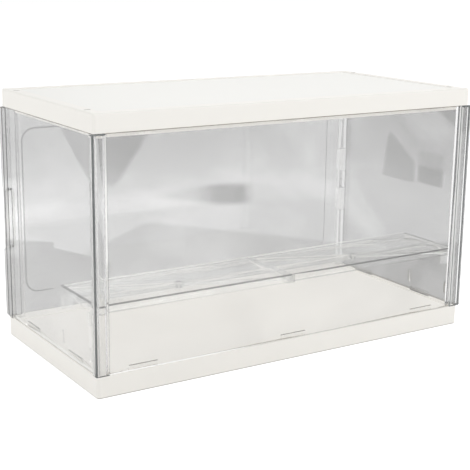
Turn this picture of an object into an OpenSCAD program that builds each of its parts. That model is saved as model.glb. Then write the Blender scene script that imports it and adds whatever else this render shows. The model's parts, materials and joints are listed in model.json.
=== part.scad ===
// Figurine display case. A white base and a white lid hold four clear corner posts and clear panels,
// the far panel is a door on an upright pin, and a clear two-piece step shelf rests on brackets.
// Millimetres, +Z up. The origin is the middle of the footprint, at table height.
// -Y is the back, where the shelf is. +Y is the door side. +X is the hinge side.

/* [Case] */
// Length of the base and the lid, along X
case_w = 320; // [280:1:400]
// Depth of the base and the lid, along Y
case_d = 157; // [140:1:220]
// Height of the clear walls between the base and the lid
clear_h = 162; // [150:1:240]
// Radius of the upright corners of the base and the lid
corner_r = 2.5; // [1:0.5:4]

/* [Base] */
// Height of the base
base_h = 15.5; // [14:0.5:24]
// Thickness of the base's skirt
base_skirt = 2.2; // [1.6:0.1:2.4]
// Thickness of the base's floor
base_floor = 2.4; // [1.6:0.1:3]
// Depth of the sunken floor below the rim
floor_drop = 0.8; // [0.4:0.1:1.5]
// Radius of the floor's corners
floor_r = 2; // [1:0.5:6]
// Width of rim left inside the back posts
rim_margin = 1; // [0.5:0.1:3]
// Width of rim left inside the posts on the door side
door_rim_margin = 3.4; // [0.5:0.1:6]
// Thickness of the ribs under the floor
base_rib_t = 1.6; // [1:0.1:2.5]
// Height of the ribs under the floor
base_rib_h = 3; // [2:0.5:6]
// Distance between the ribs that run across the base
base_rib_step = 80; // [50:1:100]

/* [Lid] */
// Height of the lid
lid_h = 13; // [11:0.5:20]
// Thickness of the lid's top plate
lid_plate = 2.2; // [1.5:0.1:3]
// Thickness of the walls round the lid's hollows
lid_wall = 2.2; // [1.6:0.1:3]
// Thickness of the lip under the lid
lip_t = 1.5; // [1:0.1:2.5]
// Height of the lip under the lid
lip_h = 3.5; // [2:0.5:5]
// Gap between the lip and the back posts
lip_gap = 0.3; // [0.2:0.1:0.6]
// Width of the raised border on the lid's top
lid_border = 9; // [8:0.5:16]
// Depth of the sunken field on the lid's top
lid_drop = 0.6; // [0.3:0.1:1]
// Length of a stacking slot, along X
stack_slot_l = 4.5; // [3:0.5:6]
// Width of a stacking slot, along Y
stack_slot_w = 1.6; // [1:0.2:3]
// Depth of a stacking slot
stack_slot_depth = 1.6; // [1:0.2:3]
// Distance from the lid's short side to the middle of a stacking slot
stack_slot_x = 5; // [4:0.5:6]
// Distance from the lid's long side to the middle of a stacking slot
stack_slot_y = 18.5; // [12:0.5:40]

/* [Panels] */
// Thickness of the fixed panels
panel_t = 2.2; // [1.5:0.1:3]
// Distance from the base's side to a panel's outer face
panel_setback = 0.3; // [0:0.1:1]
// Clearance on each face of a panel in its groove
panel_fit = 0.15; // [0.05:0.05:0.3]
// Gap between a panel's edge and the bottom of its groove
panel_edge_gap = 0.2; // [0.1:0.05:0.5]
// Length of a foot on a panel
tab_l = 22; // [12:1:30]
// Thickness of a foot
tab_t = 1.6; // [1.2:0.1:2]
// Reach of a foot into the base or the lid
tab_h = 5; // [4:0.5:6]
// Length of a foot on the panel's inner face
tab_rise = 3; // [2:0.5:8]
// Clearance round a foot in its slot
tab_fit = 0.15; // [0.05:0.05:0.3]
// Gap at a foot's ends and tip
tab_gap = 0.4; // [0.2:0.1:1]
// Distance from the case's end to the middle of the back panel's outer feet
back_tab_inset = 36; // [30:1:60]
// Distance from the case's long side to the middle of a side panel's foot
side_tab_inset = 41.5; // [34:0.5:50]

/* [Posts] */
// Width of a corner post, along X
post_w = 10.5; // [10:0.5:14]
// Depth of a back post, along Y
back_post_d = 6; // [5.5:0.5:8]
// Depth of the post that the door closes on, along Y
far_post_d = 7; // [6.5:0.5:10]
// How far the posts and the hinge stand out past the base's sides
post_proud = 1.5; // [0.5:0.25:2]
// Depth of the grooves for the panels
groove_depth = 2.2; // [1.5:0.1:2.4]
// Diameter of the spigots at a post's ends
spigot_d = 3; // [2:0.1:3.2]
// Length of a spigot
spigot_l = 5; // [3:0.5:6]
// Radial clearance of a spigot in its socket
spigot_fit = 0.3; // [0.2:0.05:0.4]
// Distance from a groove's bottom to a spigot
spigot_wall = 0.6; // [0.4:0.1:1]
// Distance from a back post's inner face to a spigot
spigot_edge = 0.2; // [0.1:0.1:0.5]
// Thickness of the wall round a socket under the base
socket_wall = 2; // [1.5:0.1:3]

/* [Door] */
// Thickness of the door
door_t = 2.4; // [1.8:0.1:3]
// Gap between the door and the base, and the door and the lid
door_end_gap = 0.6; // [0.4:0.1:1.5]
// Gap between the closed door and the jamb post
door_seat_gap = 0.3; // [0.2:0.1:1]
// Width of the bead along the door's free edge
bead_w = 6; // [3:0.5:8]
// Distance from the case's end to the field on the pull side
field_pull_side = 14.4; // [12:0.2:30]
// Distance from the case's end to the field on the hinge side
field_hinge_side = 18.5; // [12:0.5:30]
// Distance from the base's top to the field
field_low = 16; // [8:0.5:30]
// Distance from the lid's underside to the field
field_high = 18; // [8:0.5:30]
// Corner radius of the field
field_r = 10; // [4:0.5:16]
// Depth of the field
field_drop = 0.5; // [0.3:0.1:0.8]
// Width of the pull loop
pull_w = 7; // [6:0.2:9]
// Height of the pull loop
pull_h = 46.5; // [34:0.5:60]
// Thickness of the pull loop's wall
pull_wall = 1.4; // [1.2:0.1:1.8]
// Distance from the case's end to the middle of the pull
pull_x = 3.9; // [3.5:0.1:6]
// Height of the pull's middle above the base's top
pull_z = 76.5; // [50:0.5:100]
// Gap between the pull and the bead's ends
pull_gap = 0.5; // [0.3:0.1:2]

/* [Hinge] */
// Radius of a hinge knuckle
knuckle_r = 3.6; // [3:0.1:3.8]
// Height of a door knuckle
knuckle_h = 19.6; // [12:0.2:26]
// Height of the fixed knuckle between the two door knuckles
mid_knuckle_h = 16.2; // [10:0.2:30]
// How far the hinge's middle lies below the middle of the clear walls
hinge_drop = 3; // [0:0.5:12]
// Gap between neighbouring knuckles
knuckle_gap = 0.3; // [0.2:0.1:0.6]
// Gap between the knuckles and what they turn past
knuckle_room = 0.5; // [0.3:0.1:0.8]
// Radius of the pin
pin_r = 1.5; // [1:0.1:1.8]
// Radial clearance of the pin
pin_fit = 0.05; // [0.02:0.01:0.09]
// Height of the floor under the pin
pin_floor = 1.5; // [1:0.5:4]
// How far the pin's top lies below the post's top
pin_top_gap = 0.5; // [0.3:0.1:2]

/* [Shelf] */
// Height of the shelf's top above the base's top
shelf_rise = 47.5; // [42:0.5:90]
// Depth of the shelf, along Y
shelf_d = 59; // [40:0.5:75]
// Height of the shelf's rim
shelf_h = 6; // [5:0.5:10]
// Thickness of the shelf's top plate
shelf_plate = 1.8; // [1.2:0.1:2.5]
// Thickness of the shelf's rim
shelf_rim = 1.8; // [1.2:0.1:2.5]
// Thickness of the ribs under the shelf
rib_t = 1.4; // [1:0.1:2]
// Height of the ribs under the shelf
rib_h = 3.2; // [2:0.1:4]
// Diameter of the boss under each half
boss_d = 5; // [4:0.5:8]
// Gap between the shelf and a side panel
shelf_end_gap = 0.5; // [0.4:0.1:2]
// Gap between the shelf and the back posts
shelf_back_gap = 0.5; // [0.3:0.1:3]
// Gap between the two halves
shelf_joint_gap = 0.4; // [0.2:0.1:1]
// Length of a joiner clip, along Y
joiner_l = 7; // [5:0.5:12]
// Thickness of a joiner clip
joiner_t = 1.4; // [1:0.1:2]
// Gap between a joiner clip and the shelf
joiner_fit = 0.1; // [0.05:0.05:0.3]
// Room left round a joiner clip under the shelf
joiner_room = 0.6; // [0.4:0.1:1]

/* [Brackets] */
// Thickness of a bracket's blade, along Y
bracket_t = 2.3; // [1.8:0.1:3]
// Clearance of a blade in its slot
bracket_fit = 0.15; // [0.05:0.05:0.3]
// Height of a slot in a side panel
slot_h = 9; // [7:0.5:12]
// How far a bracket reaches in under the shelf
bracket_reach = 5.5; // [4:0.5:8]
// Width of a bracket's ledge, along Y
ledge_w = 7; // [5:0.5:10]
// Thickness of a bracket's ledge
ledge_t = 1.6; // [1.2:0.1:2.5]
// Distance from the shelf's edge to the middle of a bracket
bracket_inset = 7.5; // [6:0.5:12]
// Drop from the shelf's slots to the lower pair of slots
slot_step = 25; // [14:0.5:28]

/* [Hidden] */
$fn = 48;

white_plastic = [0.95, 0.94, 0.91];
clear_plastic = [0.80, 0.86, 0.88, 0.45];

// A cut runs this far past the face that it opens, and joined blocks run this far into each other
over = 1;

half_w = case_w / 2;
half_d = case_d / 2;
base_top = base_h;
lid_bottom = base_top + clear_h;

// Lines that the panels and the back posts stand on
panel_x = half_w - panel_setback - panel_t / 2;
panel_in_x = panel_x - panel_t / 2;
back_y = -half_d + panel_setback + panel_t / 2;
back_in_y = back_y + panel_t / 2;
post_in_x = half_w + post_proud - post_w;
post_in_y = -half_d - post_proud + back_post_d;
groove_w = panel_t + 2 * panel_fit;

// Hinge line, door and the posts on the door side
hinge_x = half_w + post_proud - knuckle_r;
door_y = half_d + post_proud - knuckle_r;
door_face_y = door_y + door_t / 2;
proud_y = half_d + post_proud;
jamb_front_y = door_y - door_t / 2 - door_seat_gap;
far_post_back_y = jamb_front_y - far_post_d;
hinge_post_front_y = door_y - knuckle_r - knuckle_room;
door_low = base_top + door_end_gap;
door_high = lid_bottom - door_end_gap;
door_left_x = -half_w - post_proud;
leaf_right_x = hinge_x - knuckle_r - knuckle_room;
pull_mid_x = -half_w + pull_x;
pull_mid_z = base_top + pull_z;
hinge_mid_z = base_top + clear_h / 2 - hinge_drop;
door_knuckles = [hinge_mid_z - mid_knuckle_h / 2 - knuckle_h, hinge_mid_z + mid_knuckle_h / 2];

// Rim of the base round its floor, and rim of the lid round its hollow
rim_w = back_post_d - post_proud + rim_margin;
lid_rim_w = back_post_d - post_proud + lip_gap + lip_t;
door_rim_w = half_d - far_post_back_y + door_rim_margin;

// Feet of the panels
back_tab_x = half_w - back_tab_inset;
side_tab_y = half_d - side_tab_inset;
back_tabs = [-back_tab_x, 0, back_tab_x];
side_tabs = [-side_tab_y, side_tab_y];

// Spigots of the posts: the two back posts, the jamb post and the hinge post
spigot_x = post_in_x + groove_depth + spigot_wall + spigot_d / 2;
spigot_back_y = post_in_y - spigot_edge - spigot_d / 2;
spigots = [
    [-spigot_x, spigot_back_y],
    [spigot_x, spigot_back_y],
    [-spigot_x, (jamb_front_y + far_post_back_y) / 2],
    [spigot_x, (hinge_post_front_y + far_post_back_y) / 2]
];
socket_depth = spigot_l + tab_gap;

// Shelf and brackets
shelf_top = base_top + shelf_rise;
shelf_low = shelf_top - shelf_h;
shelf_back_y = post_in_y + shelf_back_gap;
shelf_end_x = panel_in_x - shelf_end_gap;
shelf_half_l = shelf_end_x - shelf_joint_gap / 2;
shelf_room_h = shelf_h - shelf_plate;
joiner_reach = shelf_rim + joiner_fit + joiner_t;
bracket_rows = [shelf_back_y + bracket_inset, shelf_back_y + shelf_d - bracket_inset];

// Rectangle with round corners, centred
module round_rect(w, d, r) {
    square([w, d - 2 * r], center = true);
    square([w - 2 * r, d], center = true);
    for (sx = [-1, 1], sy = [-1, 1])
        translate([sx * (w / 2 - r), sy * (d / 2 - r)])
            circle(r = r);
}

// Block between two opposite corners
module block(low, high) {
    translate(low)
        cube(high - low);
}

// Outline inside a rim, which is wider on the door side
module inside_rim(rim, door_rim) {
    translate([0, (rim - door_rim) / 2])
        round_rect(case_w - 2 * rim, case_d - rim - door_rim, floor_r);
}

// Blocks on the inner faces of the fixed panels: the feet, or with a clearance the slots for them
module feet_blocks(fit, end_gap, z_low, z_high) {
    half_l = tab_l / 2 + end_gap;
    for (x = back_tabs)
        block([x - half_l, back_in_y - fit, z_low], [x + half_l, back_in_y + tab_t + fit, z_high]);
    for (side = [0, 1], y = side_tabs)
        mirror([side, 0, 0])
            block([panel_in_x - tab_t - fit, y - half_l, z_low], [panel_in_x + fit, y + half_l, z_high]);
}

// The sockets for the posts' spigots, cut upwards from a height
module spigot_sockets(z_low, depth) {
    for (place = spigots)
        translate([place[0], place[1], z_low])
            cylinder(d = spigot_d + 2 * spigot_fit, h = depth);
}

module base_tray() {
    plate_low = base_h - floor_drop - base_floor;
    rib_low = plate_low - base_rib_h;
    rib_high = plate_low + base_floor / 2;
    socket_low = base_h - socket_depth - base_floor;
    color(white_plastic)
        difference() {
            union() {
                difference() {
                    linear_extrude(base_h)
                        round_rect(case_w, case_d, corner_r);
                    // Open underside
                    translate([0, 0, -over])
                        linear_extrude(plate_low + over)
                            square([case_w - 2 * base_skirt, case_d - 2 * base_skirt], center = true);
                }
                // Ribs under the floor
                for (x = [-base_rib_step, 0, base_rib_step])
                    block([x - base_rib_t / 2, -half_d + base_skirt / 2, rib_low],
                          [x + base_rib_t / 2, half_d - base_skirt / 2, rib_high]);
                block([-half_w + base_skirt / 2, -base_rib_t / 2, rib_low],
                      [half_w - base_skirt / 2, base_rib_t / 2, rib_high]);
                // Walls round the sockets
                intersection() {
                    linear_extrude(base_h)
                        square([case_w - base_skirt, case_d - base_skirt], center = true);
                    for (place = spigots)
                        translate([place[0], place[1], socket_low])
                            cylinder(d = spigot_d + 2 * socket_wall, h = base_h - floor_drop - socket_low);
                }
            }
            // Sunken floor
            translate([0, 0, base_h - floor_drop])
                linear_extrude(floor_drop + over)
                    inside_rim(rim_w, door_rim_w);
            feet_blocks(tab_fit, tab_gap, base_h - tab_h - tab_gap, base_h + over);
            spigot_sockets(base_h - socket_depth, socket_depth + over);
        }
}

module lid() {
    hollow_top = lid_h - lid_drop - lid_plate;
    color(white_plastic)
        translate([0, 0, lid_bottom])
            difference() {
                union() {
                    linear_extrude(lid_h)
                        round_rect(case_w, case_d, corner_r);
                    // Lip that hangs inside the panels
                    translate([0, 0, -lip_h])
                        linear_extrude(lip_h + over)
                            inside_rim(lid_rim_w - lip_t, door_rim_w - lip_t);
                }
                // Sunken field on top
                translate([0, 0, lid_h - lid_drop])
                    linear_extrude(lid_drop + over)
                        round_rect(case_w - 2 * lid_border, case_d - 2 * lid_border, floor_r);
                // Hollow over the display space
                translate([0, 0, -lip_h - over])
                    linear_extrude(hollow_top + lip_h + over)
                        inside_rim(lid_rim_w, door_rim_w);
                // Hollow over the door
                block([-post_in_x + lid_wall, half_d - door_rim_w + lid_wall, -over],
                      [post_in_x - lid_wall, half_d - lid_wall, hollow_top]);
                feet_blocks(tab_fit, tab_gap, -over, tab_h + tab_gap);
                spigot_sockets(-over, socket_depth + over);
                // Stacking slots
                for (sx = [-1, 1], sy = [-1, 1])
                    translate([sx * (half_w - stack_slot_x), sy * (half_d - stack_slot_y),
                               lid_h + (over - stack_slot_depth) / 2])
                        cube([stack_slot_l, stack_slot_w, stack_slot_depth + over], center = true);
            }
}

// Heights of the feet at the bottom and the top of a panel
foot_spans = [[base_top - tab_h, base_top + tab_rise], [lid_bottom - tab_rise, lid_bottom + tab_h]];

module back_panel() {
    end_x = post_in_x + groove_depth - panel_edge_gap;
    color(clear_plastic) {
        block([-end_x, back_y - panel_t / 2, base_top], [end_x, back_in_y, lid_bottom]);
        for (x = back_tabs, span = foot_spans) {
            block([x - tab_l / 2, back_in_y, span[0]], [x + tab_l / 2, back_in_y + tab_t, span[1]]);
            block([x - tab_l / 2, back_y, max(span[0], base_top)],
                  [x + tab_l / 2, back_in_y + tab_t / 2, min(span[1], lid_bottom)]);
        }
    }
}

// Side panel on the +X side, mirrored for the other side, with its shelf slots
module side_panel(side) {
    end_reach = groove_depth - panel_edge_gap;
    slot_w = bracket_t + 2 * bracket_fit;
    color(clear_plastic)
        mirror([side < 0 ? 1 : 0, 0, 0])
            difference() {
                union() {
                    block([panel_in_x, post_in_y - end_reach, base_top],
                          [panel_in_x + panel_t, far_post_back_y + end_reach, lid_bottom]);
                    for (y = side_tabs, span = foot_spans) {
                        block([panel_in_x - tab_t, y - tab_l / 2, span[0]],
                              [panel_in_x, y + tab_l / 2, span[1]]);
                        block([panel_in_x - tab_t / 2, y - tab_l / 2, max(span[0], base_top)],
                              [panel_x, y + tab_l / 2, min(span[1], lid_bottom)]);
                    }
                }
                for (y = bracket_rows, z = [shelf_low - slot_h, shelf_low - slot_h - slot_step])
                    block([panel_in_x - over, y - slot_w / 2, z],
                          [panel_in_x + panel_t + over, y + slot_w / 2, z + slot_h]);
            }
}

// Spigots at both ends of a post
module post_spigots(place) {
    for (z = [base_top - spigot_l, lid_bottom - over])
        translate([place[0], place[1], z])
            cylinder(d = spigot_d, h = spigot_l + over);
}

// Groove along a post for a side panel, from the post's face towards +Y or -Y
module side_groove(face_y, way) {
    translate([panel_x, face_y + way * (groove_depth - over) / 2, base_top + clear_h / 2])
        cube([groove_w, groove_depth + over, clear_h + 2 * over], center = true);
}

// Corner post at the back, with a groove for each of the two panels that meet there
module back_post(side) {
    color(clear_plastic) {
        mirror([side < 0 ? 1 : 0, 0, 0])
            difference() {
                block([post_in_x, post_in_y - back_post_d, base_top],
                      [post_in_x + post_w, post_in_y, lid_bottom]);
                block([post_in_x - over, back_y - groove_w / 2, base_top - over],
                      [post_in_x + groove_depth, back_y + groove_w / 2, lid_bottom + over]);
                side_groove(post_in_y, -1);
            }
        post_spigots(spigots[side < 0 ? 0 : 1]);
    }
}

// Post on the door side at +X, from its back face to a front line, with a groove for the side panel
module far_post(front_y) {
    difference() {
        block([post_in_x, far_post_back_y, base_top], [post_in_x + post_w, front_y, lid_bottom]);
        side_groove(far_post_back_y, 1);
    }
}

module jamb_post() {
    color(clear_plastic) {
        mirror([1, 0, 0])
            far_post(jamb_front_y);
        post_spigots(spigots[2]);
    }
}

// One fixed knuckle between two heights, on its web
module post_knuckle(z_low, z_high) {
    translate([hinge_x, door_y, z_low])
        cylinder(r = knuckle_r, h = z_high - z_low);
    block([hinge_x - knuckle_r, hinge_post_front_y - over, z_low],
          [hinge_x + knuckle_r, door_y, z_high]);
}

module hinge_post() {
    lower = door_knuckles[0];
    upper = door_knuckles[1];
    color(clear_plastic)
        difference() {
            union() {
                far_post(hinge_post_front_y);
                post_spigots(spigots[3]);
                post_knuckle(base_top, lower - knuckle_gap);
                post_knuckle(lower + knuckle_h + knuckle_gap, upper - knuckle_gap);
                post_knuckle(upper + knuckle_h + knuckle_gap, lid_bottom);
            }
            translate([hinge_x, door_y, base_top + pin_floor])
                cylinder(r = pin_r + pin_fit, h = clear_h);
        }
}

module door_panel() {
    field_left = -half_w + field_pull_side;
    field_right = half_w - field_hinge_side;
    field_h = clear_h - field_low - field_high;
    pull_reach = pull_h / 2 + pull_gap;
    color(clear_plastic)
        difference() {
            union() {
                block([door_left_x, door_y - door_t / 2, door_low],
                      [leaf_right_x, door_face_y, door_high]);
                // Bead along the free edge, left out beside the pull
                block([door_left_x, door_y, door_low],
                      [door_left_x + bead_w, proud_y, pull_mid_z - pull_reach]);
                block([door_left_x, door_y, pull_mid_z + pull_reach],
                      [door_left_x + bead_w, proud_y, door_high]);
                for (z = door_knuckles) {
                    translate([hinge_x, door_y, z])
                        cylinder(r = knuckle_r, h = knuckle_h);
                    block([leaf_right_x - over, door_y - door_t / 2, z],
                          [hinge_x, door_face_y, z + knuckle_h]);
                }
            }
            // Sunken field with round corners
            translate([(field_left + field_right) / 2, door_face_y + over,
                       base_top + field_low + field_h / 2])
                rotate([90, 0, 0])
                    linear_extrude(field_drop + over)
                        round_rect(field_right - field_left, field_h, field_r);
            for (z = door_knuckles)
                translate([hinge_x, door_y, z - over])
                    cylinder(r = pin_r + pin_fit, h = knuckle_h + 2 * over);
        }
}

// Upright outline with round ends
module stadium(w, h) {
    square([w, h - w], center = true);
    for (end = [-1, 1])
        translate([0, end * (h - w) / 2])
            circle(d = w);
}

module door_pull() {
    color(clear_plastic)
        translate([pull_mid_x, proud_y, pull_mid_z])
            rotate([90, 0, 0])
                linear_extrude(proud_y - door_face_y)
                    difference() {
                        stadium(pull_w, pull_h);
                        stadium(pull_w - 2 * pull_wall, pull_h - 2 * pull_wall);
                    }
}

module hinge_pin() {
    color(clear_plastic)
        translate([hinge_x, door_y, base_top + pin_floor])
            cylinder(r = pin_r, h = clear_h - pin_floor - pin_top_gap);
}

// One half of the shelf, from its lower X end: a plate on a rim, with ribs and a boss underneath
module shelf_half(x_low) {
    inner_l = shelf_half_l - 2 * shelf_rim;
    inner_d = shelf_d - 2 * shelf_rim;
    rib_low = shelf_room_h - rib_h;
    rib_high = shelf_h - shelf_plate / 2;
    clip_x = joiner_fit + joiner_t + joiner_room;
    clip_y = joiner_fit + joiner_l + joiner_room;
    color(clear_plastic)
        translate([x_low, shelf_back_y, shelf_low]) {
            difference() {
                cube([shelf_half_l, shelf_d, shelf_h]);
                translate([shelf_rim, shelf_rim, -over])
                    cube([inner_l, inner_d, shelf_room_h + over]);
            }
            difference() {
                union() {
                    // Rib along the middle
                    block([shelf_rim / 2, (shelf_d - rib_t) / 2, rib_low],
                          [shelf_half_l - shelf_rim / 2, (shelf_d + rib_t) / 2, rib_high]);
                    // Rib from the front corner to the back corner
                    intersection() {
                        block([shelf_rim / 2, shelf_rim / 2, rib_low],
                              [shelf_half_l - shelf_rim / 2, shelf_d - shelf_rim / 2, rib_high]);
                        translate([shelf_half_l / 2, shelf_d / 2, 0])
                            rotate([0, 0, -atan2(inner_d, inner_l)])
                                translate([-shelf_half_l, -rib_t / 2, 0])
                                    cube([2 * shelf_half_l, rib_t, shelf_h]);
                    }
                    translate([shelf_half_l / 2, shelf_d / 2, 0])
                        cylinder(d = boss_d, h = rib_high);
                }
                // Room for the joiner clips at both ends
                for (x = [shelf_rim, shelf_half_l - shelf_rim - clip_x],
                     y = [shelf_rim, shelf_d - shelf_rim - clip_y])
                    translate([x, y, -over])
                        cube([clip_x, clip_y, shelf_room_h + over]);
            }
        }
}

// Clip round the two rims where the halves meet, from its lower Y end
module shelf_joiner(y_low) {
    reach = shelf_joint_gap / 2 + joiner_reach;
    color(clear_plastic) {
        block([-reach, y_low, shelf_low - joiner_t], [reach, y_low + joiner_l, shelf_low]);
        for (side = [0, 1])
            mirror([side, 0, 0])
                block([reach - joiner_t, y_low, shelf_low - joiner_t],
                      [reach, y_low + joiner_l, shelf_low + shelf_room_h - joiner_fit]);
    }
}

// Bracket in a side panel's slot: a blade through the panel and a ledge under the shelf
module shelf_bracket(side, y) {
    tip_x = panel_in_x - bracket_reach;
    blade_low = shelf_low - slot_h + bracket_fit;
    color(clear_plastic)
        translate([0, y, 0])
            mirror([side < 0 ? 1 : 0, 0, 0]) {
                block([panel_in_x - over, -bracket_t / 2, blade_low],
                      [panel_in_x + panel_t, bracket_t / 2, shelf_low - bracket_fit]);
                block([tip_x, -bracket_t / 2, blade_low], [panel_in_x, bracket_t / 2, shelf_low]);
                block([tip_x, -ledge_w / 2, shelf_low - ledge_t], [panel_in_x, ledge_w / 2, shelf_low]);
            }
}

base_tray();
lid();
back_panel();
side_panel(-1);  // pull_side_panel
side_panel(1);  // hinge_side_panel
back_post(-1);  // back_post_pull_side
back_post(1);  // back_post_hinge_side
jamb_post();
hinge_post();
door_panel();
door_pull();
hinge_pin();
shelf_half(-shelf_end_x);  // shelf_pull_side_half
shelf_half(shelf_joint_gap / 2);  // shelf_hinge_side_half
shelf_joiner(shelf_back_y + shelf_rim + joiner_fit);  // shelf_joiner_back
shelf_joiner(shelf_back_y + shelf_d - shelf_rim - joiner_fit - joiner_l);  // shelf_joiner_front
shelf_bracket(-1, bracket_rows[0]);  // shelf_bracket_1
shelf_bracket(-1, bracket_rows[1]);  // shelf_bracket_2
shelf_bracket(1, bracket_rows[0]);  // shelf_bracket_3
shelf_bracket(1, bracket_rows[1]);  // shelf_bracket_4
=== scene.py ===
import json
import math

import bmesh
import bpy
import numpy as np
from mathutils import Matrix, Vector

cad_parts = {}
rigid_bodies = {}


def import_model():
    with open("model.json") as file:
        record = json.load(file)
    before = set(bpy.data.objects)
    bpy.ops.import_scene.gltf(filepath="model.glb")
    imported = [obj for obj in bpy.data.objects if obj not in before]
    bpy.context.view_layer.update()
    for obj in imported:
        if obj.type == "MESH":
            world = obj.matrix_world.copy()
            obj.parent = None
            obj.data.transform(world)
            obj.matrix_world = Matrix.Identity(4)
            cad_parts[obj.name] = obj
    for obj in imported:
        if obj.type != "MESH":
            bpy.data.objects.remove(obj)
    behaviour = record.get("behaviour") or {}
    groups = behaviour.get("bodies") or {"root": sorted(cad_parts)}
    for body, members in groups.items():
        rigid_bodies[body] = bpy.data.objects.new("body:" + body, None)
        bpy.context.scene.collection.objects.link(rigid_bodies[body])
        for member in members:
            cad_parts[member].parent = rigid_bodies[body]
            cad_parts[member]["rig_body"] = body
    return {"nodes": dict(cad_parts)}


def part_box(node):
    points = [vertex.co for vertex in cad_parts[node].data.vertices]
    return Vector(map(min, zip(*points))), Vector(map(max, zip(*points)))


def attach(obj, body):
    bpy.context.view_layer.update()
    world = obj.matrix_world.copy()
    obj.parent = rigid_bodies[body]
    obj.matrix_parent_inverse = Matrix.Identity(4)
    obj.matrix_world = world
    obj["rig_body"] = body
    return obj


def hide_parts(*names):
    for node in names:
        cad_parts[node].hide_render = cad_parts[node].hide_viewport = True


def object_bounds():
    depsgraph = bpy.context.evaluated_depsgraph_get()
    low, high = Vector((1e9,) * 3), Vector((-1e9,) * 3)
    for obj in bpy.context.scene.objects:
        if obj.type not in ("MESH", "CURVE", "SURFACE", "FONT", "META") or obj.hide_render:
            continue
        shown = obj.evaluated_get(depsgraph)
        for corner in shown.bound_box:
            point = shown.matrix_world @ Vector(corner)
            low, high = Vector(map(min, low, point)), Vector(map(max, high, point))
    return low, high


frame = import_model()
cad_low, cad_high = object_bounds()
scene = bpy.context.scene

# The base is a white injection moulding, open below. Its rim holds the slots for the panels' feet
# and the sockets for the posts, and its floor is sunk a little below the rim.


class Shade:
    """One socket of a node tree, so that shader maths can be written as an expression."""

    def __init__(self, tree, socket=None):
        self.tree = tree
        self.socket = socket

    def node(self, kind, settings=None, sockets=None, output=0):
        """A new node: its settings are set first, then its sockets get values or links."""
        made = self.tree.nodes.new(kind)
        for name, value in (settings or {}).items():
            setattr(made, name, value)
        for name, value in (sockets or {}).items():
            if isinstance(value, Shade):
                self.tree.links.new(value.socket, made.inputs[name])
            else:
                made.inputs[name].default_value = value
        return Shade(self.tree, made.outputs[output] if made.outputs else None)

    def math(self, operation, first, second=0.0, third=0.0):
        return self.node("ShaderNodeMath", {"operation": operation}, {0: first, 1: second, 2: third})

    def __add__(self, other):
        return self.math("ADD", self, other)

    __radd__ = __add__

    def __sub__(self, other):
        return self.math("SUBTRACT", self, other)

    def __rsub__(self, other):
        return self.math("SUBTRACT", other, self)

    def __mul__(self, other):
        return self.math("MULTIPLY", self, other)

    __rmul__ = __mul__

    def __pow__(self, other):
        return self.math("POWER", self, other)

    def tint(self, low, high):
        """The colour that goes from low to high as this value goes from 0 to 1."""
        return self.node("ShaderNodeMix", {"data_type": "RGBA"},
                         {0: self, 6: (*low, 1), 7: (*high, 1)}, output=2)

    def spread(self, low, high):
        """0 on the far side of low, 1 on the far side of high, and a smooth slope between them."""
        return self.node("ShaderNodeMapRange", {"interpolation_type": "SMOOTHSTEP"},
                         {"Value": self, "From Min": low, "From Max": high})


def empty_material(name):
    """A material with an empty node tree, and the Shade that adds nodes to it."""
    material = bpy.data.materials.new(name)
    material.use_nodes = True
    material.node_tree.nodes.clear()
    return material, Shade(material.node_tree)


def moulding(node, materials, whole_faces=False):
    """A merged copy of a CAD solid that rides on its body and stands for it, and the angle that its
    surface turns by at every edge."""
    shape = bmesh.new()
    shape.from_mesh(frame["nodes"][node].data)
    bmesh.ops.remove_doubles(shape, verts=shape.verts, dist=2e-6)
    if whole_faces:
        flat = math.radians(0.5)
        bmesh.ops.dissolve_limit(shape, angle_limit=flat, verts=shape.verts, edges=shape.edges)
    turns = np.array([edge.calc_face_angle(0) for edge in shape.edges])
    mesh = bpy.data.meshes.new(node + "_moulding")
    shape.to_mesh(mesh)
    shape.free()
    for material in materials:
        mesh.materials.append(material)
    piece = bpy.data.objects.new(node + "_moulding", mesh)
    scene.collection.objects.link(piece)
    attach(piece, frame["nodes"][node]["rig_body"])
    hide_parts(node)
    return piece, turns


def edge_ends(mesh):
    """The places of both ends of every edge, as an array of edges by two ends by three."""
    places = np.empty(len(mesh.vertices) * 3)
    mesh.vertices.foreach_get("co", places)
    ends = np.empty(len(mesh.edges) * 2, np.int32)
    mesh.edges.foreach_get("vertices", ends)
    return places.reshape(-1, 3)[ends.reshape(-1, 2)]


def round_edges(piece, name, weight, width, segments):
    """Rounds every edge off by its weight times width, and evens the shading of the flat faces."""
    piece.data.polygons.foreach_set("use_smooth", np.ones(len(piece.data.polygons), bool))
    weights = piece.data.attributes.new(name, "FLOAT", "EDGE")
    weights.data.foreach_set("value", weight.astype(np.float32))
    rounding = piece.modifiers.new(name, "BEVEL")
    rounding.width = width
    rounding.segments = segments
    rounding.limit_method = "WEIGHT"
    rounding.edge_weight = name
    rounding.use_clamp_overlap = False
    evening = piece.modifiers.new("even_faces", "WEIGHTED_NORMAL")
    evening.weight = 100
    return rounding


SHARP = math.radians(35)
HAIR = 0.0003


def same(values, place):
    """True where the values are within a hair of a place."""
    return np.abs(values - place) < HAIR


def white_moulding(node, materials, soften):
    """A white moulding. soften gives the width that its sharp edges are rounded off by."""
    piece, turns = moulding(node, materials, whole_faces=True)
    width = 0.001
    weight = soften(edge_ends(piece.data)).min(1) / width * (turns > SHARP)
    round_edges(piece, "edge_round", weight, width, 4)
    return piece


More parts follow.
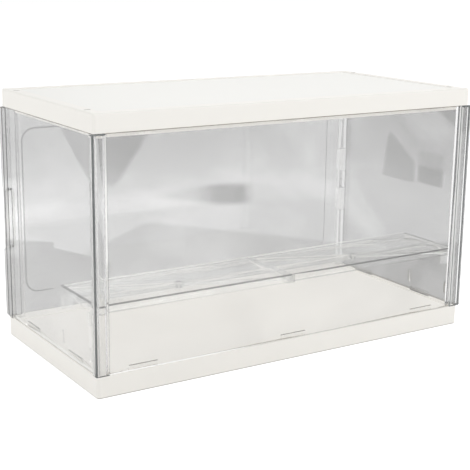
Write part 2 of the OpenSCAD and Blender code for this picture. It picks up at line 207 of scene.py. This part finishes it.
def white_plastic(name, low, high, contact_shade=None):
    """Warm white moulded plastic: slight cloudiness, a satin sheen that varies, and a fine grain.
    The last argument is the colour of a painted shade along its lowest edge, next to the table."""
    material, shade = empty_material(name)
    place = shade.node("ShaderNodeTexCoord", output=3)
    cloud = shade.node("ShaderNodeTexNoise", {}, {"Vector": place, "Scale": 14.0, "Detail": 3.0})
    grain = shade.node("ShaderNodeTexNoise", {}, {"Vector": place, "Scale": 1800.0, "Detail": 2.0})
    bump = shade.node("ShaderNodeBump", {}, {"Height": grain, "Strength": 0.04, "Distance": 0.0004})
    colour = cloud.tint(low, high)
    # Painted shade: the lowest millimetre fades to the given colour, where the base meets the table.
    if contact_shade:
        height = shade.node("ShaderNodeSeparateXYZ", {}, {"Vector": place}, output=2)
        lowest = height.spread(0.001, 0.0006)
        colour = shade.node("ShaderNodeMix", {"data_type": "RGBA"},
                            {0: lowest, 6: colour, 7: (*contact_shade, 1)}, output=2)
    surface = shade.node("ShaderNodeBsdfPrincipled", {}, {
        "Base Color": colour,
        "Roughness": 0.36 + 0.16 * cloud,
        "Normal": bump,
        "Specular IOR Level": 0.25,
    })
    shade.node("ShaderNodeOutputMaterial", {}, {"Surface": surface})
    return material


# The base's lowest edge takes a painted shade where it stands on the table.
white = white_plastic("white_plastic", (0.89, 0.869, 0.823), (0.92, 0.901, 0.858),
                      contact_shade=(0.5, 0.48, 0.44))
base_low, base_high = (np.array(corner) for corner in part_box("base_tray"))
wall_reach = 0.0025


def base_edges(ends):
    """Rounds the edges of the wall that the base stands on most, and the others only a little."""
    outside = (np.abs(ends[..., :2]) > base_high[:2] - wall_reach).any(-1)
    return np.where(outside & (ends[..., 2] < base_low[2] + HAIR), 0.0008, 0.00015)


white_moulding("base_tray", [white], base_edges)

# The two back posts are clear extruded strips with grooves that hold the panels' edges. Spigots at
# their ends press into the base and the lid.


def let_light_pass(shade, surface, share):
    """The surface for what is seen, and open air for a share of the lamp light on its way through."""
    open_air = shade.node("ShaderNodeBsdfTransparent", {}, {"Color": (share, share, share, 1)})
    for ray in ("Is Diffuse Ray", "Is Shadow Ray"):
        passing = shade.node("ShaderNodeLightPath", output=ray)
        surface = shade.node("ShaderNodeMixShader", {}, {0: passing, 1: surface, 2: open_air})
    shade.node("ShaderNodeOutputMaterial", {}, {"Surface": surface})


def thick_clear_plastic(name, light, dark):
    """Clear plastic that bends what is seen through it, with a slight grey cast that drifts, and a
    surface that is gently wavy from the mould."""
    material, shade = empty_material(name)
    place = shade.node("ShaderNodeTexCoord", output=3)
    drift = shade.node("ShaderNodeTexNoise", {}, {"Vector": place, "Scale": 9.0, "Detail": 1.0})
    wave = shade.node("ShaderNodeTexNoise", {}, {"Vector": place, "Scale": 26.0, "Detail": 1.0})
    bump = shade.node("ShaderNodeBump", {}, {"Height": wave, "Strength": 0.01, "Distance": 0.0006})
    surface = shade.node("ShaderNodeBsdfPrincipled", {}, {
        "Base Color": drift.tint((dark, dark, dark), (light, light, light)),
        "Roughness": 0.0,
        "IOR": 1.5,
        "Transmission Weight": 1.0,
        "Normal": bump,
    })
    let_light_pass(shade, surface, 1.0)
    return material


def sheet_clear_plastic(name, thin_veil, thick_veil, colour, shift=(0, 0, 0), shapes=None, waves=0.02,
                        lit_through=0.0, share=1.0, glints=None):
    """Clear sheet that shows what is behind it unbent, through a faint veil that gathers in soft
    clouds, moved by shift, and in the shapes given. The veil is painted shade and reflection of the
    room, and in the edge lines' materials it makes painted highlights and painted dark edges.
    lit_through is the veil's share of light from behind it, and share is how much lamp light the
    sheet lets pass. The sheet mirrors 4 percent straight on and all of the light at a glance, by the
    fifth power, and more where there are glints, which are painted highlights. waves is how far its
    surface is from flat."""
    material, shade = empty_material(name)
    place = shade.node("ShaderNodeTexCoord", output=3)
    moved = shade.node("ShaderNodeMapping", {}, {
        "Vector": place, "Location": shift, "Scale": (1, 1, 1.6)})
    cloud = shade.node("ShaderNodeTexNoise", {}, {
        "Vector": moved, "Scale": 8.0, "Detail": 3.0, "Roughness": 0.4, "Distortion": 1.2})
    wave = shade.node("ShaderNodeTexNoise", {}, {"Vector": place, "Scale": 26.0, "Detail": 1.0})
    bump = shade.node("ShaderNodeBump", {}, {"Height": wave, "Strength": waves, "Distance": 0.0006})
    open_air = shade.node("ShaderNodeBsdfTransparent", {}, {"Color": (1, 1, 1, 1)})
    painted_tone = shade.node("ShaderNodeBsdfPrincipled", {}, {
        "Base Color": (*colour, 1), "Roughness": 0.3, "Specular IOR Level": 0.0})
    if lit_through:
        through = shade.node("ShaderNodeBsdfTranslucent", {}, {"Color": (*colour, 1)})
        painted_tone = shade.node("ShaderNodeMixShader", {}, {0: lit_through, 1: painted_tone, 2: through})
    veil = thin_veil + (thick_veil - thin_veil) * cloud.spread(0.35, 0.65)
    axes = [shade.node("ShaderNodeSeparateXYZ", {}, {"Vector": place}, axis) for axis in range(3)]
    if shapes:
        veil = veil + shapes(*axes)
    body = shade.node("ShaderNodeMixShader", {}, {0: veil, 1: open_air, 2: painted_tone})
    shine = shade.node("ShaderNodeBsdfAnisotropic", {}, {
        "Color": (1, 1, 1, 1), "Roughness": 0.02, "Normal": bump})
    glance = shade.node("ShaderNodeLayerWeight", {}, {"Blend": 0.5}, output=1)
    mirrored = 0.04 + 0.96 * glance ** 5
    # Painted highlights: the glints add mirror at the places they give.
    if glints:
        mirrored = mirrored + glints(*axes)
    surface = shade.node("ShaderNodeMixShader", {}, {0: mirrored, 1: body, 2: shine})
    let_light_pass(shade, surface, share)
    return material


def paint_faces(mesh, choose):
    """Gives every face the material that choose picks from the faces' middles and directions."""
    middles = np.empty(len(mesh.polygons) * 3)
    mesh.polygons.foreach_get("center", middles)
    facing = np.empty(len(mesh.polygons) * 3)
    mesh.polygons.foreach_get("normal", facing)
    faces = choose(middles.reshape(-1, 3), np.abs(facing.reshape(-1, 3)))
    mesh.polygons.foreach_set("material_index", faces.astype(np.int32))


def clear_moulding(node, materials, painted=None, lines=()):
    """A clear moulding, painted by faces. Each of the lines is a choice of sharp edges that catch
    the light or the dark: they are rounded off by its width and take its material."""
    piece, turns = moulding(node, materials)
    if painted:
        paint_faces(piece.data, painted)
    for number, (choose, width, material) in enumerate(lines):
        weight = choose(edge_ends(piece.data)).min(1) * (turns > SHARP)
        rounding = round_edges(piece, "line_%d" % number, weight, width, 3)
        rounding.material = materials.index(material)


# The colour of the veil on the clear parts: painted shade and reflection of the room.
ROOM_SHADE_GREY = (0.22, 0.22, 0.22)
post_clear = thick_clear_plastic("clear_post", 0.91, 0.85)
# The far post is tinted darker than the near one: painted shade on the same clear plastic.
far_post_clear = thick_clear_plastic("clear_far_post", 0.86, 0.8)
# Painted light and shade along the posts' edges: a painted dark edge, a painted highlight and a
# fainter painted highlight.
post_line = sheet_clear_plastic("clear_post_line", 0.85, 0.92, (0.09, 0.1, 0.1))
pale_line = sheet_clear_plastic("clear_pale_line", 0.85, 0.95, (0.97, 0.97, 0.95), lit_through=0.5)
dim_line = sheet_clear_plastic("clear_dim_line", 0.4, 0.5, (0.85, 0.86, 0.84))


def bright_middle(x, y, z):
    """Takes the veil away below the middle, and part of it at the top, so that the painted highlight
    shows above the middle.
    """
    return -0.9 * z.spread(0.1, 0.08) - 0.45 * z.spread(0.14, 0.16)


def dark_below(x, y, z):
    """Brings the veil in below the middle, so that the painted dark line shows there."""
    return 0.5 * z.spread(0.1, 0.08)


# A painted highlight and a painted dark line on the back post's inner edges, changing with height.
near_pale_line = sheet_clear_plastic("clear_near_pale_line", 0.85, 0.95, (0.97, 0.97, 0.95),
                                     shapes=bright_middle, lit_through=0.5)
near_dark_line = sheet_clear_plastic("clear_near_dark_line", 0.0, 0.01, ROOM_SHADE_GREY, shapes=dark_below)
door_gap = 0.0006
lid_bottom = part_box("door_panel")[1][2] + door_gap


def outer_edges(node, corner):
    """1 on the post's corner furthest out, and on its outer edges at the base and the lid. corner
    is the weight of the other upright edge on the outside of the short side."""
    reach = np.abs(np.array(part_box(node))).max(0)
    inner = np.abs(np.array(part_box(node))).min(0)

    def weigh(ends):
        place = np.abs(ends)
        outside = place[..., :2] > reach[:2] - HAIR
        level = same(ends[..., 2], base_high[2]) | same(ends[..., 2], lid_bottom)
        other = outside[..., 0] & same(place[..., 1], inner[1])
        return np.maximum(outside.all(-1) | (outside.any(-1) & level), corner * other)

    return weigh


def inner_edges(node):
    """Two choices of the post's upright edges that overlap the back panel: the one on the outside,
    and the ones in the groove and on the inside."""
    reach = np.abs(np.array(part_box(node))).max(0)
    inner = np.abs(np.array(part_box(node))).min(0)

    def overlap(ends):
        return same(np.abs(ends[..., 0]), inner[0])

    def first(ends):
        return overlap(ends) & (np.abs(ends[..., 1]) > reach[1] - HAIR)

    def others(ends):
        return overlap(ends) & (np.abs(ends[..., 1]) < reach[1] - HAIR)

    return first, others


first_edge, groove_edges = inner_edges("back_post_pull_side")
clear_moulding("back_post_pull_side", [post_clear, post_line, near_pale_line, near_dark_line], lines=[
    (outer_edges("back_post_pull_side", 0), 0.0012, post_line),
    (first_edge, 0.0008, near_pale_line),
    (groove_edges, 0.0005, near_dark_line)])
clear_moulding("back_post_hinge_side", [far_post_clear, post_line, dim_line], lines=[
    (outer_edges("back_post_hinge_side", 1), 0.0012, post_line),
    (inner_edges("back_post_hinge_side")[0], 0.0008, dim_line)])

# The back panel and the two side panels are clear moulded sheets, 2.2 mm thick. Their feet hook into
# the base and the lid, and the side panels have slots for the shelf's brackets.
ALONG, ACROSS, UP = range(3)


def less_shade_below(x, y, z):
    """Takes the veil's painted shade away near the base."""
    return -0.03 * z.spread(0.05, 0.025)


# The back panel's faint veil: painted shade of the room, lighter near the base.
near_sheet = sheet_clear_plastic("clear_sheet", 0.025, 0.055, ROOM_SHADE_GREY, shapes=less_shade_below)
# The pull-side panel takes more veil than the back panel: painted shade on the same clear sheet.
pull_side_sheet = sheet_clear_plastic("clear_pull_side_sheet", 0.085, 0.125, ROOM_SHADE_GREY)


def hinge_side_painted_reflections(x, y, z):
    """Painted reflection of the dark room: a wedge and a block near the middle, the top corner at the
    back, and below a slant that rises to the back."""
    wedge = y.spread(-0.022, -0.02) * (y + 0.17 * z).spread(0.0376, 0.0366)
    wedge = wedge * z.spread(0.1055, 0.1075) * (z - 0.67 * y).spread(0.139, 0.136)
    block = y.spread(-0.0555, -0.054) * y.spread(-0.0255, -0.027) * z.spread(0.107, 0.109)
    block = block * (0.4 * z.spread(0.137, 0.132) + 0.6 * z.spread(0.1235, 0.1205))
    corner = (z - 0.5 * y).spread(0.191, 0.194)
    below = (z + 0.35 * y).spread(0.045, 0.037)
    return 0.1 * wedge + 0.14 * (block + corner) + 0.18 * below + 0.08 * z.spread(0.09, 0.15)


# The hinge-side panel's thick veil and its shapes are painted shade and painted reflection of the
# room.
far_sheet = sheet_clear_plastic("clear_hinge_sheet", 0.29, 0.37, ROOM_SHADE_GREY, (0.3, 0.1, 0.2),
                                shapes=hinge_side_painted_reflections)
# Painted shade: dark tan rims on the feet, and dark seams where the sheets meet the base and the lid.
foot_rim_shade = sheet_clear_plastic("clear_foot_rim_shade", 0.45, 0.6, (0.24, 0.2, 0.13))
seam_shade = sheet_clear_plastic("clear_seam_shade", 0.7, 0.85, (0.16, 0.13, 0.08))


def pull_side_glint(x, y, z):
    """A painted glint: extra mirror that fades from the pull side to the middle."""
    return 0.75 * x.spread(0.0, -0.08)


# A painted highlight along the back panel's lower edge, on a faint dark veil.
bright_line = sheet_clear_plastic("clear_bright_line", 0.22, 0.28, (0.3, 0.28, 0.24),
                                  glints=pull_side_glint)
foot_height = 0.003
foot_top = base_high[2] + foot_height
post_inside = abs(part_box("back_post_pull_side")[1][0])
sheet_thickness = 0.0022


def foot_tops(middles, facing):
    """Paints the tops of the feet at the base as dark rims: painted shade."""
    return (facing[:, UP] > 0.5) & same(middles[:, 2], foot_top)


def back_faces(middles, facing):
    """Paints the tops of the feet as dark seams, and the sheet's end in the groove of the post on the
    pull
    side as a pale line: painted shade and a painted highlight."""
    end = (facing[:, ALONG] > 0.5) & (middles[:, 0] < -post_inside)
    return np.where(end, 2, 3 * foot_tops(middles, facing))


low_slot_height = 0.0275
low_slot_reach = 0.0055
back_slot_end = -0.05


def hinge_side_faces(middles, facing):
    """Paints the feet as dark rims, and the walls of the lower slots dark, darker in the one at the
    back: painted shade.
    """
    slot = (facing[:, ALONG] < 0.5) & (np.abs(middles[:, 2] - low_slot_height) < low_slot_reach)
    at_back = middles[:, 1] < back_slot_end
    return np.where(slot, np.where(at_back, 3, 1), foot_tops(middles, facing))


def seams(node, axis):
    """Three choices of edges: the ones where the sheet meets the base outside and inside, and the
    ones where it meets the lid outside."""
    outer = max(np.array(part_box(node))[:, axis], key=abs)
    inner = outer - np.sign(outer) * sheet_thickness

    def chooser(side, level):
        def choose(ends):
            return same(ends[..., axis], side) & same(ends[..., 2], level)

        return choose

    return chooser(outer, base_high[2]), chooser(inner, base_high[2]), chooser(outer, lid_bottom)


# The lines where each sheet meets the base and the lid are painted: dark seams and rims as painted
# shade, pale and bright lines as painted highlights.
for node, axis, sheet, painted, outside_width, outside_line, inside_width, inside_line in (
    ("back_panel", ACROSS, near_sheet, back_faces, 0.0009, bright_line, 0.0006, foot_rim_shade),
    ("pull_side_panel", ALONG, pull_side_sheet, foot_tops, 0.0006, seam_shade, 0.0012, pale_line),
    ("hinge_side_panel", ALONG, far_sheet, hinge_side_faces, 0.0006, seam_shade, 0.0005, seam_shade),
):
    base_outside, base_inside, lid_outside = seams(node, axis)
    clear_moulding(node, [sheet, foot_rim_shade, pale_line, seam_shade, bright_line], painted, [
        (base_outside, outside_width, outside_line),
        (base_inside, inside_width, inside_line),
        (lid_outside, 0.0005, seam_shade)])

# The jamb post that the door closes on, and the hinge post with its fixed knuckles. Both are clear
# mouldings of the same kind as the back posts.
# The jamb's veils are painted shade: faint on the post, thicker on its side faces, with painted dark
# edges.
jamb_sheet = sheet_clear_plastic("clear_jamb", 0.01, 0.03, ROOM_SHADE_GREY)
jamb_side = sheet_clear_plastic("clear_jamb_side", 0.25, 0.4, (0.2, 0.2, 0.2))
jamb_line = sheet_clear_plastic("clear_jamb_line", 0.7, 0.8, (0.12, 0.12, 0.12))


def jamb_faces(middles, facing):
    """Paints the faces at the pull side of the case with a thicker veil: painted shade."""
    return (facing[:, ALONG] > 0.5) & (middles[:, 0] < cad_low[0] + HAIR)


clear_moulding("jamb_post", [jamb_sheet, jamb_side, jamb_line], jamb_faces,
               [(outer_edges("jamb_post", 0), 0.0006, jamb_line)])
# The hinge post's veils are painted shade: faint on the post, thicker on its inside faces and on the
# fixed knuckles, with painted dark edges.
hinge_sheet = sheet_clear_plastic("clear_hinge_post", 0.03, 0.05, ROOM_SHADE_GREY)
hinge_post_inside = sheet_clear_plastic("clear_hinge_inside", 0.3, 0.34, ROOM_SHADE_GREY)
fixed_knuckles = sheet_clear_plastic("clear_fixed_knuckles", 0.17, 0.21, ROOM_SHADE_GREY)
hinge_line = sheet_clear_plastic("clear_hinge_line", 0.35, 0.45, (0.2, 0.2, 0.2))
panel_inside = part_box("hinge_side_panel")[1][0] - sheet_thickness


def hinge_post_faces(middles, facing):
    """Paints the faces that look into the case, up to the groove for the panel, and the fixed
    knuckles, which start where the door's knuckles do, with painted shade."""
    side = (facing[:, ALONG] > 0.5) & (middles[:, 0] < post_inside + HAIR)
    back = (facing[:, ACROSS] > 0.5) & (middles[:, 1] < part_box("hinge_post")[0][1] + HAIR)
    knuckle = middles[:, 1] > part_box("door_panel")[0][1]
    return np.where(knuckle, 2, side | (back & (middles[:, 0] < panel_inside)))


clear_moulding("hinge_post", [hinge_sheet, hinge_post_inside, fixed_knuckles, hinge_line],
               hinge_post_faces, [(outer_edges("hinge_post", 0), 0.0004, hinge_line)])

# The hinge pin is a clear rod, pushed down through the knuckles of the post and the door, so that the
# door turns on it.
clear_moulding("hinge_pin", [near_sheet])

# The door is a clear sheet with a bead along its free edge, a shallow field with round corners, and
# two knuckles. The pull is a loop moulded on its outside.
field_middle = (-0.00205, 0.0955)
field_half = (0.14355, 0.064)
field_round = 0.01


def from_field_edge(x, z):
    """How far a place is from the field's outline, a rectangle with round corners: the length of
    what is past the rectangle of the corners' middles, less their radius."""
    side = x.math("ABSOLUTE", x - field_middle[0]) - (field_half[0] - field_round)
    top = z.math("ABSOLUTE", z - field_middle[1]) - (field_half[1] - field_round)
    past = x.math("MAXIMUM", side, 0.0) ** 2 + z.math("MAXIMUM", top, 0.0) ** 2
    within = x.math("MINIMUM", x.math("MAXIMUM", side, top), 0.0)
    return x.math("ABSOLUTE", past ** 0.5 + within - field_round)


def door_painted_reflections(x, y, z):
    """Painted reflection of the room on the door: dark at the top, low down at both sides and under a
    hill, in a wedge and along a streak, and pale in a band and along the bead. The field's step shows
    as a painted dark line on the outside."""
    step = 0.02 * x.spread(-0.122, -0.124)
    pull_side_top = x.math("MINIMUM", 0.0482 - 0.171 * x, 0.0217 - 0.35 * x + step)
    pull_side = (z - pull_side_top).spread(0.001, -0.001) * x.spread(-0.06, -0.085)
    hill_top = x.math("SMOOTH_MIN", 0.0902 + 0.352 * x, 0.0674 - 0.213 * x, 0.008)
    hill = (z - hill_top).spread(0.0025, -0.0025)
    hinge_side = x.spread(0.02, 0.08) * z.spread(0.12, 0.07)
    low = x.math("MAXIMUM", 0.2 * pull_side, 0.085 * hill) + 0.04 * hinge_side
    wedge = (x + 0.53 * z).spread(-0.032, -0.029) * (x - 0.73 * z).spread(-0.143, -0.152)
    wedge = wedge * z.spread(0.105, 0.115)
    off_streak = x.math("ABSOLUTE", z + 0.08 * x - 0.0945)
    streak = (off_streak - 0.008 * x.spread(-0.045, 0.035)).spread(0.0035, -0.0035)
    streak = streak * (0.3 * x.spread(-0.045, -0.02) + 0.7 * x.spread(0.0, 0.03))
    streak = streak * x.spread(0.066, 0.048)
    dark = low + 0.1 * z.spread(0.095, 0.145) + 0.16 * wedge + 0.26 * streak
    kept = x.math("MAXIMUM", z.spread(0.034, 0.042), x.spread(-0.12, -0.13))
    line = from_field_edge(x, z).spread(0.0009, 0.0003) * y.spread(0.0766, 0.0768) * kept
    low_corner = z.spread(0.075, 0.065) * x.spread(-0.1, -0.12)
    dark = dark + line * (0.03 + 0.47 * x.spread(0.1, -0.1) + 0.25 * low_corner)
    band = x.math("ABSOLUTE", z - 0.093).spread(0.014, 0.004) * x.spread(0.0, -0.04)
    by_pull = z.spread(0.058, 0.066) * z.spread(0.126, 0.118)
    return dark - 0.05 * band - x.spread(-0.1445, -0.147) * (0.05 + 0.11 * by_pull)


# The door's veil is painted shade and painted reflection of the room.
door_sheet = sheet_clear_plastic("clear_door", 0.23, 0.3, ROOM_SHADE_GREY, (0.1, 0.4, 0.05), door_painted_reflections)
# Painted dark lines on the door's edges, and a painted highlight on its knuckles.
door_line = sheet_clear_plastic("clear_door_line", 0.8, 0.9, (0.12, 0.12, 0.12))
knuckle_highlight = sheet_clear_plastic("clear_knuckle_highlight", 0.6, 0.7, (0.97, 0.97, 0.97),
                                    lit_through=0.5)
leaf_end = 0.1535
leaf_low, leaf_high = 0.02, 0.172
bead_end = -0.1554
bead_width = 0.005


def door_faces(middles, facing):
    """The knuckles past the leaf's end with a painted highlight and their end faces with a painted
    dark line, the walls of the shallow field as painted dark lines, and plain sheet."""
    knuckle = middles[:, 0] > leaf_end
    end = knuckle & (facing[:, UP] > 0.5)
    wall = (facing[:, ACROSS] < 0.5) & (np.abs(middles[:, 0]) < -bead_end)
    wall &= (middles[:, UP] > leaf_low) & (middles[:, UP] < leaf_high)
    return np.where(end, 3, np.where(knuckle, 1, 2 * wall))


def free_edges(ends):
    """True along the door's free edge."""
    return ends[..., 0] < bead_end - bead_width


clear_moulding("door_panel", [door_sheet, knuckle_highlight, door_line, hinge_line], door_faces,
               [(free_edges, 0.0005, door_line)])
# The pull's walls are a painted dark outline, and its top a painted highlight.
pull_wall_line = sheet_clear_plastic("clear_pull_wall", 0.85, 0.92, (0.05, 0.05, 0.05))
pull_low, pull_high = (np.array(corner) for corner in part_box("door_pull"))
pull_wall = 0.0019


def loop_surface(steps, round_steps):
    """A loop: the path is two half circles joined by straight sides, and the wall carried along it
    stands on the door with a half-round top. Both go round and close on themselves. The sides of
    the wall, and all of it at the loop's two ends, take the second material, a painted dark outline;
    the rest takes the first, a painted highlight."""
    end_angle = 0.6
    turn = np.arange(steps) * 2 * np.pi / steps + np.pi / steps
    out = np.stack([np.cos(turn), np.zeros(steps), np.sin(turn)], 1)
    middle = (pull_low + pull_high) / 2
    ring = (pull_high[0] - pull_low[0] - pull_wall) / 2
    straight = (pull_high[2] - pull_low[2] - pull_wall) / 2 - ring
    path = middle + ring * out + straight * np.sign(out[:, 2:]) * np.array([0, 0, 1])
    path[:, 1] = pull_low[1] + HAIR / 3
    lean = np.linspace(np.pi, 0, round_steps)
    across = np.concatenate([[-1], np.cos(lean), [1]]) * pull_wall / 2
    height = pull_high[1] - path[0, 1] - pull_wall / 2 * (1 - np.sin(lean))
    height = np.concatenate([[0], height, [0]])
    corners = path[:, None] + across[:, None] * out[:, None] + height[:, None] * np.array([0, 1, 0])
    place = np.arange(corners[..., 0].size).reshape(corners.shape[:2])
    next_step = np.roll(place, -1, 0)
    faces = np.stack([place, next_step, np.roll(next_step, -1, 1), np.roll(place, -1, 1)], -1)
    walls = np.zeros(faces.shape[:2], np.int32)
    walls[:, [0, -2]] = 1
    walls[np.abs(np.abs(turn + np.pi / steps - np.pi) - np.pi / 2) < end_angle] = 1
    return corners.reshape(-1, 3), faces.reshape(-1, 4), walls.ravel()


pull_corners, pull_faces, pull_paint = loop_surface(96, 12)
pull_mesh = bpy.data.meshes.new("pull_loop")
pull_mesh.from_pydata(pull_corners.tolist(), [], pull_faces.tolist())
pull_mesh.polygons.foreach_set("material_index", pull_paint)
shape = bmesh.new()
shape.from_mesh(pull_mesh)
bmesh.ops.recalc_face_normals(shape, faces=shape.faces)
shape.to_mesh(pull_mesh)
shape.free()
pull_mesh.polygons.foreach_set("use_smooth", np.ones(len(pull_mesh.polygons), bool))
pull_mesh.materials.append(pale_line)
pull_mesh.materials.append(pull_wall_line)
pull = bpy.data.objects.new("pull_loop", pull_mesh)
scene.collection.objects.link(pull)
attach(pull, "door")
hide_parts("door_pull")

# The step shelf is two like clear mouldings with ribs under them, joined in the middle by two clips.
# It rests on brackets that hook into the side panels' slots.


def shelf_painted_light(x, y, z):
    """Paints the shelf paler towards the pull side: painted light."""
    return 0.09 * x.spread(-0.02, -0.1)


# The two halves are the same clear moulding: the pull-side half's pale veil is painted light, the
# hinge-side half's grey veil painted shade.
pull_half_sheet = sheet_clear_plastic("clear_shelf_pull_half", 0.06, 0.09, (0.82, 0.83, 0.8),
                                      shapes=shelf_painted_light, waves=0.0, share=0.91)
hinge_half_sheet = sheet_clear_plastic("clear_shelf_hinge_half", 0.07, 0.1, (0.52, 0.53, 0.49),
                                       waves=0.0, share=0.95)
# Painted dark edges on the shelf.
shelf_line = sheet_clear_plastic("clear_shelf_line", 0.8, 0.9, (0.1, 0.1, 0.1))
shelf_low, shelf_high = (np.array(corner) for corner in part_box("shelf_pull_side_half"))
rib_lift = 0.001


def dark_edges(ends):
    """1 along the top edge at the shelf's two ends, and less at the back: the edges for painted dark
    lines.
    """
    back = same(ends[..., 1], shelf_low[1])
    end = same(np.abs(ends[..., 0]), -shelf_low[0])
    return np.where(end, 1.0, 0.35 * back) * same(ends[..., 2], shelf_high[2])


def pale_edges(ends):
    """1 along the top edge at the front, and less along the lower edges of the ribs: the edges for
    painted highlights.
    """
    front = same(ends[..., 1], shelf_high[1]) & same(ends[..., 2], shelf_high[2])
    return np.where(front, 1.0, 0.43 * same(ends[..., 2], shelf_low[2] + rib_lift))


def low_back_edges(ends):
    """True along the lower edge of the shelf's wall at the back, which takes a painted dark line."""
    return same(ends[..., 1], shelf_low[1]) & same(ends[..., 2], shelf_low[2])


boss_reach = 0.0027


def boss_walls(node):
    """Paints the wall of the round boss under the middle of a half dark: painted shade."""
    middle = np.mean(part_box(node), 0)[:2]

    def choose(middles, facing):
        near = np.hypot(*(middles[:, :2] - middle).T) < boss_reach
        return near & (facing[:, UP] < 0.5)

    return choose


# The boss wall's dark veil is painted shade.
boss_line = sheet_clear_plastic("clear_boss_line", 0.55, 0.65, (0.2, 0.2, 0.2))
for node, sheet in (
    ("shelf_pull_side_half", pull_half_sheet),
    ("shelf_hinge_side_half", hinge_half_sheet),
):
    clear_moulding(node, [sheet, boss_line, pale_line, shelf_line, hinge_line], boss_walls(node), [
        (dark_edges, 0.0016, shelf_line),
        (pale_edges, 0.0016, pale_line),
        (low_back_edges, 0.0012, hinge_line)])


joiner_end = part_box("shelf_joiner_back")[1][0]


def end_walls(middles, facing):
    """Paints the end face towards the hinge side dark: painted shade."""
    return (facing[:, ALONG] > 0.5) & (middles[:, 0] > joiner_end - HAIR)


for node in ("shelf_joiner_back", "shelf_joiner_front"):
    clear_moulding(node, [hinge_half_sheet, hinge_line], end_walls)
# The brackets' pale veil is painted light.
bracket_sheet = sheet_clear_plastic("clear_bracket", 0.17, 0.25, (0.92, 0.93, 0.91))
for number in range(1, 5):
    clear_moulding("shelf_bracket_%d" % number, [bracket_sheet])

# The lid is the same white plastic as the base. It lifts off, and a lip under it hangs inside the
# panels. Its top is sunk inside a border, with four small slots that a case above locates in.
field_white = white_plastic("white_field", (0.875, 0.868, 0.832), (0.905, 0.9, 0.868))
# The slots' insides are painted dark: painted shade in the recesses.
slot_painted_shade = white_plastic("painted_shade_in_slot", (0.3, 0.29, 0.27), (0.34, 0.33, 0.31))
lid_reach = np.array(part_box("lid")[1])
lid_top = lid_reach[2]
lid_border = 0.0085
lid_field_depth = 0.0006
slot_high, slot_low = 0.0005, 0.0018


def lid_edges(ends):
    """Rounds the top edge round the outside most, the field's edge less, and the others a little."""
    place = np.abs(ends)
    top = same(ends[..., 2], lid_top)
    outside = top & (place[..., :2] > lid_reach[:2] - wall_reach).any(-1)
    field = top & (place[..., :2] < lid_reach[:2] - lid_border).all(-1)
    return np.where(outside, 0.0014, np.where(field, 0.00045, 0.00015))


def lid_faces(middles, facing):
    """The sunken field, the insides of the four slots in the border, painted dark as shade, and plain
    white.
    """
    sunk = lid_top - middles[:, 2]
    field = (facing[:, UP] > 0.5) & same(sunk, lid_field_depth)
    slot = (sunk > slot_high) & (sunk < slot_low) & ~field
    return np.where(slot, 2, field)


lid = white_moulding("lid", [white, field_white, slot_painted_shade], lid_edges)
paint_faces(lid.data, lid_faces)

# The studio is a pale floor under an even white sky, with three wide lamps. The floor and the sky
# show as white, and the floor keeps the soft shadow under the case.


def seen_directly(shade):
    """1 for the rays that show the background: from the camera, off gloss and through clear parts."""
    found = shade.node("ShaderNodeLightPath", output="Is Camera Ray")
    for output in ("Is Glossy Ray", "Is Transmission Ray"):
        other = shade.node("ShaderNodeLightPath", output=output)
        found = shade.math("MAXIMUM", found, other)
    return found


floor_mesh = bpy.data.meshes.new("floor")
floor_mesh.from_pydata([(-6, -6, 0), (6, -6, 0), (6, 6, 0), (-6, 6, 0)], [], [(0, 1, 2, 3)])
floor = bpy.data.objects.new("floor", floor_mesh)
scene.collection.objects.link(floor)
floor_material, shade = empty_material("pale_floor")
plain = shade.node("ShaderNodeBsdfDiffuse", {}, {"Color": (0.8, 0.8, 0.8, 1)})
lit = shade.node("ShaderNodeBsdfDiffuse", {}, {"Color": (0.3, 0.3, 0.3, 1)})
glow = shade.node("ShaderNodeEmission", {}, {"Color": (0.94, 0.94, 0.94, 1), "Strength": 1.0})
shown = shade.node("ShaderNodeAddShader", {}, {0: lit, 1: glow})
mixed = shade.node("ShaderNodeMixShader", {}, {0: seen_directly(shade), 1: plain, 2: shown})
shade.node("ShaderNodeOutputMaterial", {}, {"Surface": mixed})
floor_mesh.materials.append(floor_material)

world = bpy.data.worlds.new("studio")
world.use_nodes = True
world.node_tree.nodes.clear()
scene.world = world
sky = Shade(world.node_tree)
sky_level = 0.45
strength = sky_level + (1 - sky_level) * seen_directly(sky)
background = sky.node("ShaderNodeBackground", {}, {"Color": (1, 1, 1, 1), "Strength": strength})
sky.node("ShaderNodeOutputWorld", {}, {"Surface": background})

for name, place, energy in (
    ("back_lamp", (0.42, -1.5, 0.95), 15.2),
    ("door_lamp", (0.9, 1.15, 1.3), 8.2),
    ("pull_side_lamp", (-1.6, 0.3, 0.6), 11.4),
):
    lamp_data = bpy.data.lights.new(name, "AREA")
    lamp_data.energy = energy
    lamp_data.size = 1.3
    lamp = bpy.data.objects.new(name, lamp_data)
    lamp.location = place
    scene.collection.objects.link(lamp)
    lamp.rotation_euler = (-lamp.location).to_track_quat("-Z", "Y").to_euler()

# The camera stands where the photograph was taken from: to the left of the back, a little above. Its
# directions, place and lens were solved on the corners of the base and the lid.
camera_data = bpy.data.cameras.new("camera")
camera_data.lens = 85.45
camera_data.sensor_width = 36
camera_data.clip_end = 50
camera = bpy.data.objects.new("camera", camera_data)
right = (0.84426251, -0.53578961, 0.01226016)
down = (-0.11808014, -0.20827991, -0.97091532)
ahead = (0.52275989, 0.81825972, -0.23910904)
turn = Matrix((right, tuple(-v for v in down), tuple(-v for v in ahead))).transposed()
camera.matrix_world = Matrix.Translation((-0.456906, -0.709619, 0.284179)) @ turn.to_4x4()
scene.collection.objects.link(camera)
scene.camera = camera
scene.cycles.max_bounces = 32
scene.cycles.transmission_bounces = 32
scene.cycles.transparent_max_bounces = 48
scene.view_settings.view_transform = "Standard"
